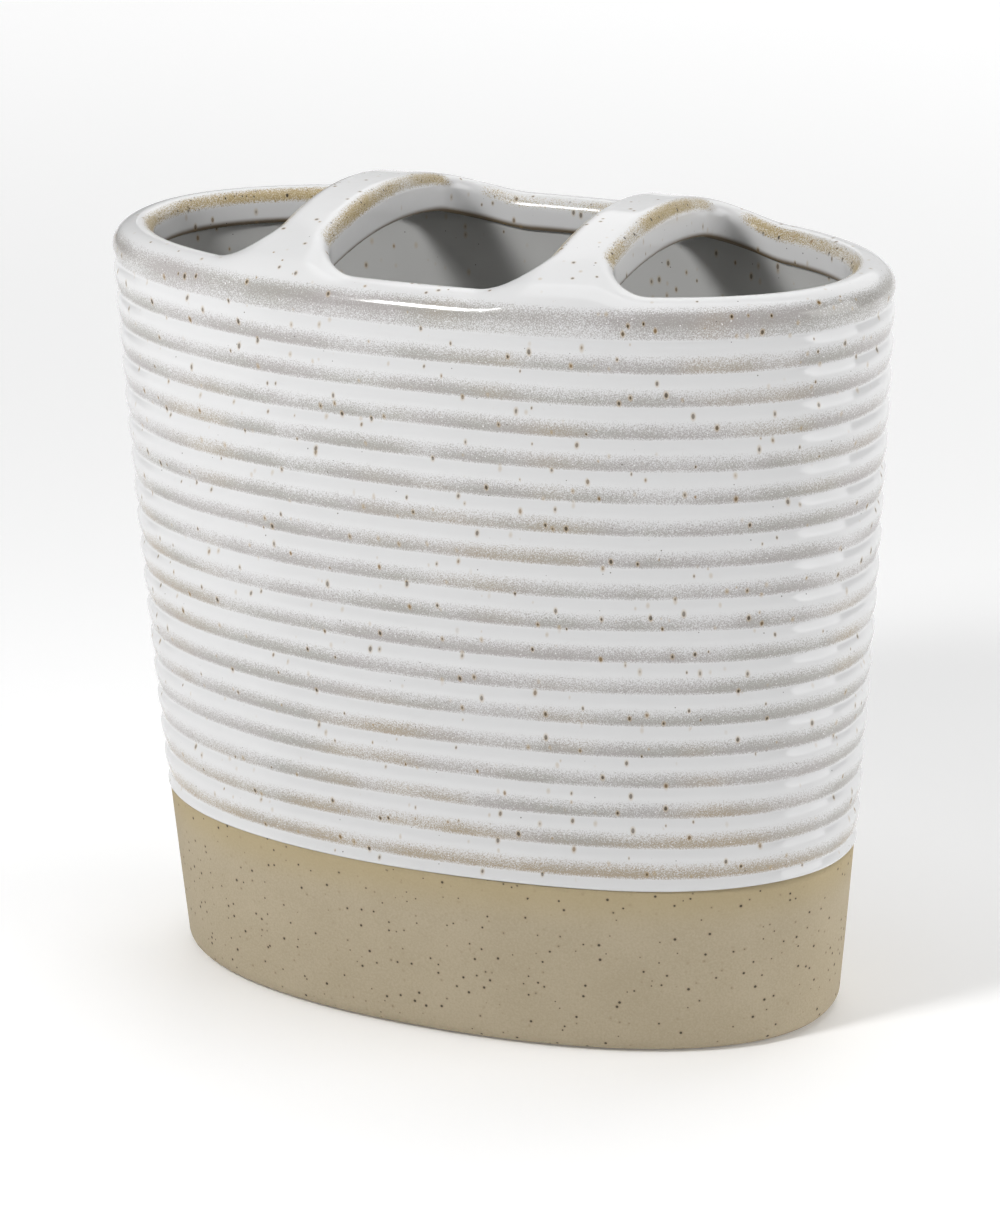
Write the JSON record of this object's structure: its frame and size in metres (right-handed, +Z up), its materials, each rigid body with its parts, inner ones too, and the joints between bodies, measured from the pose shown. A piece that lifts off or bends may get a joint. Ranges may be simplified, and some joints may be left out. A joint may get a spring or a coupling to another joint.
{
  "type": "toothbrush holder",
  "caption": "Oval tapered stoneware toothbrush holder with a bare clay foot, a ribbed wall in speckled white glaze, a rounded rim and arched bridges that divide its mouth into openings.",
  "frame": {"origin": "middle of the footprint, on the surface that the holder stands on", "axes": "+X along the oval's length, +Y from the front to the back, +Z up"},
  "size_m": [0.1138, 0.0594, 0.114],
  "materials": {
    "bare_clay": "matte, fine grained, with dark specks",
    "clay_body": "matte, under glaze",
    "white_glaze": "glossy reactive white with sandy valleys and brown specks"
  },
  "bodies": {
    "root": {"foot_band": "bare_clay", "base_floor": "bare_clay", "ribbed_wall": "clay_body", "rim_collar": "white_glaze", "left_bridge": "white_glaze", "right_bridge": "white_glaze", "wall_glaze": "white_glaze", "liner_glaze": "white_glaze"}
  },
  "joints": []
}
